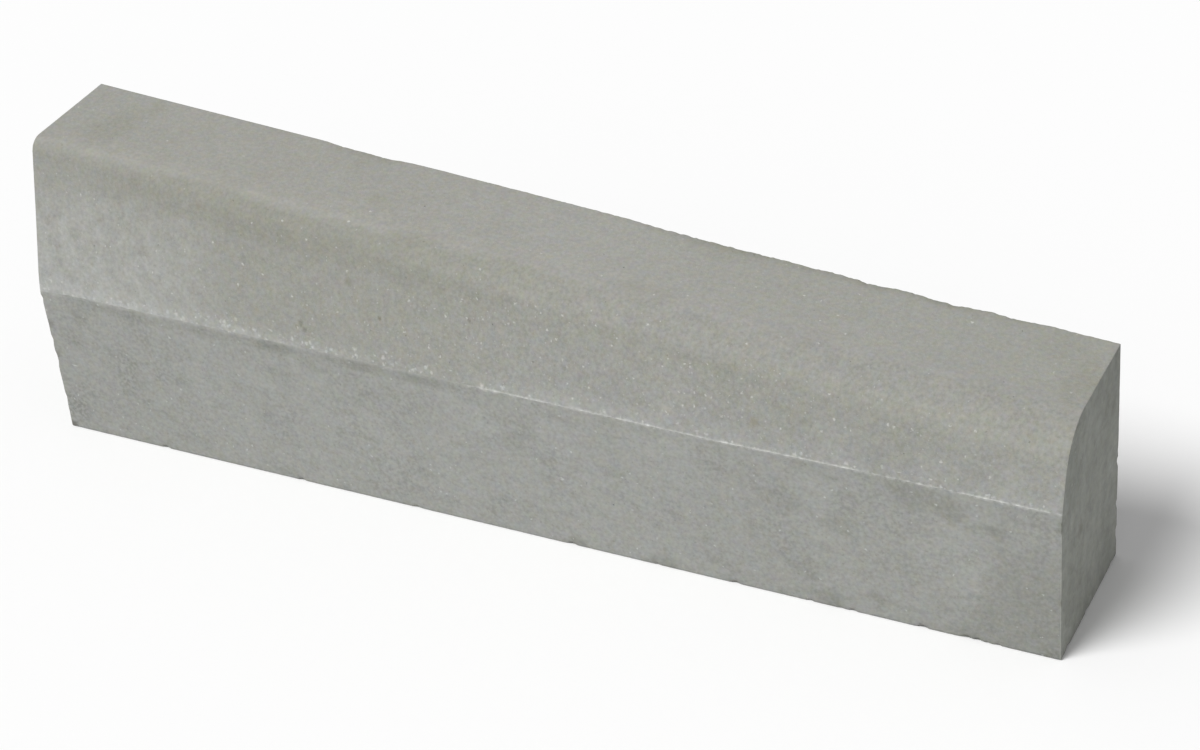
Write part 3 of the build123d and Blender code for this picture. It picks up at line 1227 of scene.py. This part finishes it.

# %% [markdown]
# ## Stains and painted shade of chips on the foot
#
# The foot's marks have a share of the length and a height in metres. They are
# a third longer than high, as most of its smudges are. The very small pale ones
# are flakes of the fin, and the very dark ones are painted shade of chips at the
# tall end.

# %% Stains and painted shade of chips on the foot
drawn_along = 1.3
foot_marks = (
    (0.545, 0.115, 0.030, 0.5, (1.08, 1.08, 1.09)), (0.470, 0.113, 0.022, 0.5, 1.08),
    (0.905, 0.075, 0.045, 1.0, 1.065), (0.785, 0.118, 0.022, 0.6, 1.07),
    (0.040, 0.135, 0.010, 0.5, (0.80, 0.80, 0.77)), (0.030, 0.105, 0.013, 0.4, (0.82, 0.82, 0.79)),
    (0.295, 0.137, 0.012, 0.5, (0.84, 0.84, 0.80)), (0.500, 0.105, 0.012, 0.5, (0.82, 0.82, 0.80)),
    (0.760, 0.103, 0.020, 0.5, (0.82, 0.82, 0.79)), (0.810, 0.092, 0.016, 0.6, (0.82, 0.82, 0.79)),
    (0.775, 0.035, 0.018, 0.4, (0.84, 0.84, 0.82)), (0.870, 0.136, 0.022, 0.65, (0.81, 0.81, 0.78)),
    (0.905, 0.130, 0.018, 0.65, (0.82, 0.82, 0.78)), (0.945, 0.118, 0.012, 0.7, (0.78, 0.78, 0.75)),
    (0.795, 0.006, 0.016, 0.7, (0.78, 0.78, 0.74)), (0.840, 0.020, 0.010, 0.6, (0.80, 0.80, 0.77)),
    (0.555, 0.004, 0.010, 0.7, (0.78, 0.78, 0.74)), (0.640, 0.002, 0.016, 0.7, (0.78, 0.78, 0.74)),
    (0.478, 0.1520, 0.0030, 0.8, 1.45), (0.462, 0.1525, 0.0022, 0.8, 1.40),
    # The dark marks at the very tall end are painted shade of chips.
    (0.507, 0.1510, 0.0040, 0.6, 1.25), (0.003, 0.1200, 0.0060, 0.7, (0.66, 0.64, 0.60)),
    (0.002, 0.0850, 0.0070, 0.6, (0.66, 0.64, 0.60)), (0.002, 0.0030, 0.0060, 0.8, (0.45, 0.42, 0.38)),
    (0.350, 0.0700, 0.0500, 0.7, 1.05), (0.800, 0.0750, 0.0600, 0.4, 1.06),
    (0.650, 0.1250, 0.0350, 0.6, 1.06), (0.455, 0.1300, 0.0250, 0.5, 1.06),
    (0.110, 0.0250, 0.0600, 0.5, (0.95, 0.95, 0.94)))
colour = paint_stains_and_shade(t, colour, [
    ((tall_x + share * length, front, height), (drawn_along * reach, reach, reach), strength, stain_and_shade_tint)
    for share, height, reach, strength, stain_and_shade_tint in foot_marks], frayed=1.1)
say_nodes(t, "stains on the foot")

# %% [markdown]
# ## Specks of the moulded faces
#
# Glints, painted as pale highlights, are rarer here. Flakes of paste, twice as
# long as high, stick to the foot, and dark grains lie everywhere.

# %% Specks of the moulded faces
# Painted highlights: pale specks for glints.
glints = specks(t, where, 7 * MM, 1.6 * MM, 0.22)
colour = cover(t, colour, (0.60, 0.62, 0.60), glints, 0.85)
flakes = specks(t, mapped(t, where, Scale=(0.5, 1.0, 1.0)), 20 * MM, 2.2 * MM, 0.16)
colour = cover(t, colour, (0.64, 0.66, 0.64), flakes, 0.85)
dark_sand = specks(t, mapped(t, where, Location=ELSEWHERE), 3.0 * MM, 1.1 * MM, 0.14)
colour = cover(t, colour, (0.21, 0.215, 0.195), dark_sand, 0.45)
say_nodes(t, "specks of the moulded faces")

# %% [markdown]
# ## Blotched ends
#
# The ends were wiped by the wall as the stone was lifted out, which leaves
# blotches and faint upright streaks. A point is on an end when it is within a
# millimetre or so of it. The ends are painted paler low down, as painted light
# against the shade near the floor, and darker above, as painted shade, and the
# low end has a few marks of its own: distance from the middle line, height,
# reach across and upwards, strength and tint.

# %% Blotches and marks of the ends
inner_half = 0.4985
from_middle = calc(t, "ABSOLUTE", calc(t, "SUBTRACT", spot_on["Along"], 0.5))
on_end = calc(t, "GREATER_THAN", from_middle, inner_half)
streaks = place(t, cloudy_mottle, Vector=mapped(t, where, Scale=(1.0, 1.0, 0.2)), Size=15 * MM, Detail=1.5,
                Contrast=3.2)
blotches = place(t, cloudy_mottle, Vector=where, Size=11 * MM, Detail=4.0, Contrast=3.4)
wiped = calc(t, "MULTIPLY_ADD", blotches["Tone"], 0.65, times(t, streaks["Tone"], 0.35))
colour = cover(t, colour, mix(t, wiped, (0.24, 0.245, 0.23), (0.46, 0.47, 0.445)), on_end, 0.42)
end_marks = (
    (-0.048, 0.128, 0.007, 0.012, 0.6, 1.22), (-0.045, 0.165, 0.022, 0.035, 0.5, (0.84, 0.85, 0.84)),
    (-0.002, 0.165, 0.010, 0.035, 0.4, 1.10), (-0.060, 0.092, 0.014, 0.025, 0.5, 1.14),
    (-0.028, 0.103, 0.010, 0.010, 0.6, (0.78, 0.76, 0.72)), (-0.010, 0.070, 0.012, 0.030, 0.4, 1.10),
    (0.030, 0.060, 0.030, 0.035, 0.4, (0.90, 0.90, 0.89)),
    (-0.050, 0.035, 0.020, 0.022, 0.5, (0.88, 0.88, 0.87)),
    (0.050, 0.175, 0.030, 0.055, 0.5, (0.88, 0.88, 0.86)))
colour = paint_stains_and_shade(t, colour, [
    ((low_x, off_middle, height), (0.01, across, upwards), strength, stain_and_shade_tint)
    for off_middle, height, across, upwards, strength, stain_and_shade_tint in end_marks], frayed=1.0)
# Painted light low down and painted shade above, on both ends.
height_share = calc(t, "DIVIDE", up, tall["top"])
painted_light_below = profile(t, height_share, (0.0, 1.0), (0.25, 0.55), (0.6, 0.1), (0.9, 0.0))
colour = tint(t, colour, (1.10, 1.11, 1.08), on_end, painted_light_below)
painted_shade_above = calc(t, "SUBTRACT", 1.0, painted_light_below, clamp=True)
colour = tint(t, colour, (0.925, 0.94, 0.908), on_end, painted_shade_above)
say_nodes(t, "blotches of the ends")

# %% [markdown]
# ## Closing the moulded finish
#
# Chips and the groove are painted darker, as painted shade in the hollows.
# Their weights come from the mesh. The fin's white goes over all, as before.

# %% Finish the moulded faces
# Painted shade in the chips and in the groove.
colour = tint(t, colour, (0.72, 0.71, 0.66), remembered(t, "chips"), 0.5)
colour = tint(t, colour, (0.72, 0.73, 0.69), remembered(t, "groove"))
finish_stone(moulded, shader, white_fin(t, colour, grain), grain["Height"], 0.2 * MM,
             calc(t, "MULTIPLY_ADD", glints, -0.45, 0.86))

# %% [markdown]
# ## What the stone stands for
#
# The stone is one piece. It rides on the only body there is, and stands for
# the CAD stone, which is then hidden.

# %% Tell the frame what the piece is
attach(stone, "root")
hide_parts("kerb_stone")
print(stone.name, "stands for", cad_stone.name)

# %% [markdown]
# ## The floor
#
# The stone stands on a plain pale floor. Seen directly it is nearly white,
# but the light that it throws back onto the stone is that of a grey floor.
# Light Path tells the two kinds of ray apart. The shadow stays.

# %% Floor
floor_side = 12
thrown_back, seen_white = (0.62, 0.62, 0.62), (0.93, 0.93, 0.93)
bpy.ops.object.select_all(action="DESELECT")
bpy.ops.mesh.primitive_plane_add(size=floor_side, location=(0, 0, cad_low.z))
floor = bpy.context.object
floor.name = "floor"
floor_finish, t, where, shader = start_material("pale_floor")
rays = node(t, "ShaderNodeLightPath").outputs
in_view = calc(t, "MAXIMUM", rays["Is Camera Ray"], rays["Is Glossy Ray"])
t.links.new(mix(t, in_view, thrown_back, seen_white), shader.inputs["Base Color"])
shader.inputs["Roughness"].default_value = 1.0
shader.inputs["Specular IOR Level"].default_value = 0.0
floor.data.materials.append(floor_finish)
print("floor at", cad_low.z)

# %% [markdown]
# ## The light
#
# Daylight from an overcast sky is a large soft light from above with a weak
# one from all around. A sun with a wide angle gives soft shadows, and the
# world fills them. The sun comes from the left of the camera, so the end
# that faces right is the darkest side.

# %% Light
sun_data = bpy.data.lights.new("key_light", "SUN")
sun_data.energy = 2.62
sun_data.angle = math.radians(30)
sun = bpy.data.objects.new("key_light", sun_data)
sun_from = Vector((-0.32, -0.47, 0.80))
sun.rotation_euler = sun_from.to_track_quat("Z", "Y").to_euler()
bpy.context.scene.collection.objects.link(sun)

world = bpy.data.worlds.new("soft_sky")
bpy.context.scene.world = world
world.use_nodes = True
sky = world.node_tree.nodes["Background"].inputs
sky["Color"].default_value = (1, 1, 1, 1)
sky["Strength"].default_value = 0.38
print("sun", sun_data.energy, "from", tuple(round(v, 2) for v in sun_from))

# %% [markdown]
# ## The camera
#
# The camera was fitted to the corners and the crease of the stone in the
# picture. It stands a little over two metres off on the low end's side, looks
# down, and is rolled by six degrees. The view transform is Standard, so that
# a colour comes out about as it was written.

# %% Camera
camera_data = bpy.data.cameras.new("camera")
camera = bpy.data.objects.new("camera", camera_data)
bpy.context.scene.collection.objects.link(camera)
camera_data.lens = 81.12
camera_data.sensor_width = 36.0
camera.location = (1.02615, -1.70927, 1.48265)
aim = Vector((0.09468, -0.075, 0.19533))
camera_roll = math.radians(-6.079)
towards = (aim - camera.location).to_track_quat("-Z", "Y")
camera.rotation_euler = (towards @ Quaternion((0, 0, 1), camera_roll)).to_euler()
bpy.context.scene.camera = camera
bpy.context.scene.view_settings.view_transform = "Standard"
print("camera", round((aim - camera.location).length, 2), "m from its aim")
